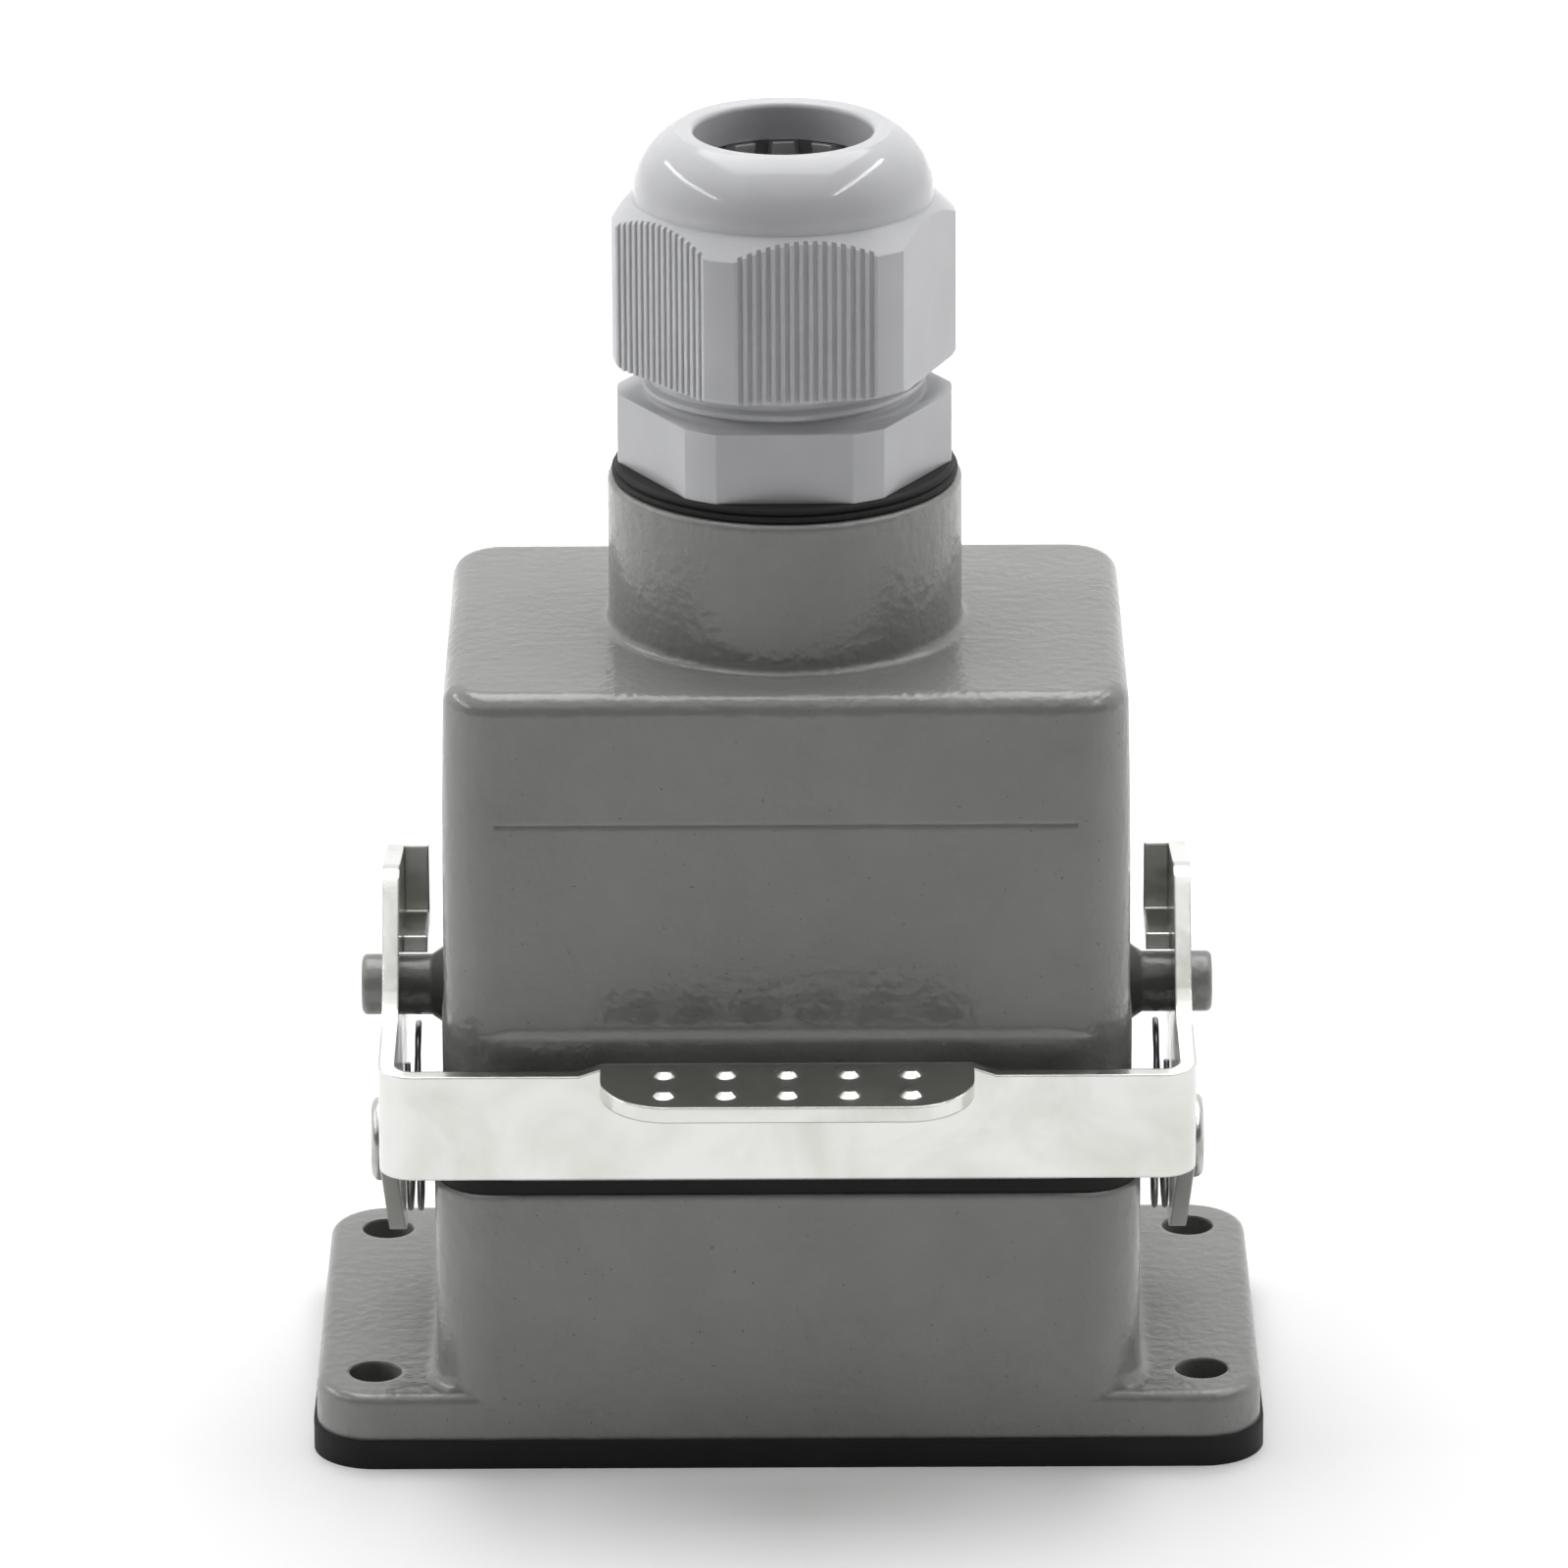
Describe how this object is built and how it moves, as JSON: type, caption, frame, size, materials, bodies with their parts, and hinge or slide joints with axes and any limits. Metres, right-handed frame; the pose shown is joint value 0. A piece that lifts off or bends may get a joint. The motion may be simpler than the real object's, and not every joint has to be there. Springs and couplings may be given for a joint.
{
  "type": "heavy duty rectangular connector",
  "caption": "Rectangular industrial connector: a top entry hood with a nylon cable gland, locked on a flanged bulkhead housing by a single cam lever.",
  "frame": {"origin": "centre of the four-hole pattern on the flange gasket's underside, which is the mounting plane on the panel", "axes": "+X along the flange's length, -Y towards the lever's handle, +Z out of the panel towards the cable entry"},
  "size_m": [0.0806, 0.056, 0.1114],
  "materials": {
    "grey_coat": "semi-gloss grey powder coat on a die casting",
    "grey_nylon": "light grey moulded nylon, satin",
    "black_rubber": "matt black moulded rubber",
    "zinc_plated_sheet": "bright zinc plated pressed steel sheet",
    "spring_wire": "drawn stainless spring wire",
    "rivet_steel": "zinc plated steel rivet",
    "insert_plastic": "grey glass-filled plastic",
    "plated_contact": "silver plated copper alloy",
    "earth_strip": "tinned copper alloy strip",
    "screw_steel": "zinc plated steel"
  },
  "bodies": {
    "housing": {"bulkhead_housing": "grey_coat", "flange_gasket": "black_rubber", "rim_seal": "black_rubber", "pivot_rivet_left": "rivet_steel", "pivot_rivet_right": "rivet_steel", "female_insert": "insert_plastic", "female_terminal_block": "insert_plastic", "female_contact_1": "plated_contact", "female_contact_2": "plated_contact", "female_contact_3": "plated_contact", "female_contact_4": "plated_contact", "female_contact_5": "plated_contact", "female_contact_6": "plated_contact", "female_earth_left": "earth_strip", "female_earth_right": "earth_strip", "female_terminal_screws": "screw_steel", "female_fixing_screws": "screw_steel", "female_earth_screws": "screw_steel"},
    "lever": {"locking_lever": "zinc_plated_sheet", "lever_spring_left": "spring_wire", "lever_spring_right": "spring_wire"},
    "hood": {"hood": "grey_coat", "male_insert": "insert_plastic", "male_terminal_block": "insert_plastic", "male_contact_1": "plated_contact", "male_contact_2": "plated_contact", "male_contact_3": "plated_contact", "male_contact_4": "plated_contact", "male_contact_5": "plated_contact", "male_contact_6": "plated_contact", "male_earth_left": "earth_strip", "male_earth_right": "earth_strip", "male_terminal_screws": "screw_steel", "male_fixing_screws": "screw_steel", "male_earth_screws": "screw_steel", "gland_body": "grey_nylon", "gland_gasket": "black_rubber"},
    "gland_clamp": {"gland_claw": "grey_nylon", "gland_seal": "black_rubber"},
    "gland_nut": {"gland_nut": "grey_nylon"}
  },
  "joints": [
    {"name": "lever_turn", "type": "hinge", "parent": "housing", "child": "lever", "pos_m": [0, 0, 0.0214], "axis": [1, 0, 0], "range_deg": [0, 42.1]},
    {"name": "hood_lift", "type": "slide", "parent": "housing", "child": "hood", "axis": [0, 0, 1], "range_m": [0, 0.0022]},
    {"name": "clamp_travel", "type": "slide", "parent": "hood", "child": "gland_clamp", "axis": [0, 0, 1], "range_m": [-0.00226, 0.00226]},
    {"name": "nut_turn", "type": "hinge", "parent": "gland_clamp", "child": "gland_nut", "pos_m": [0, 0, 0.0984], "axis": [0, 0, 1], "range_deg": [-540, 540]}
  ],
  "couplings": [
    {"joint": "lever_turn", "follows": "hood_lift", "rad_per_m": 333.2},
    {"joint": "clamp_travel", "follows": "nut_turn", "m_per_rad": 0.00023873}
  ]
}
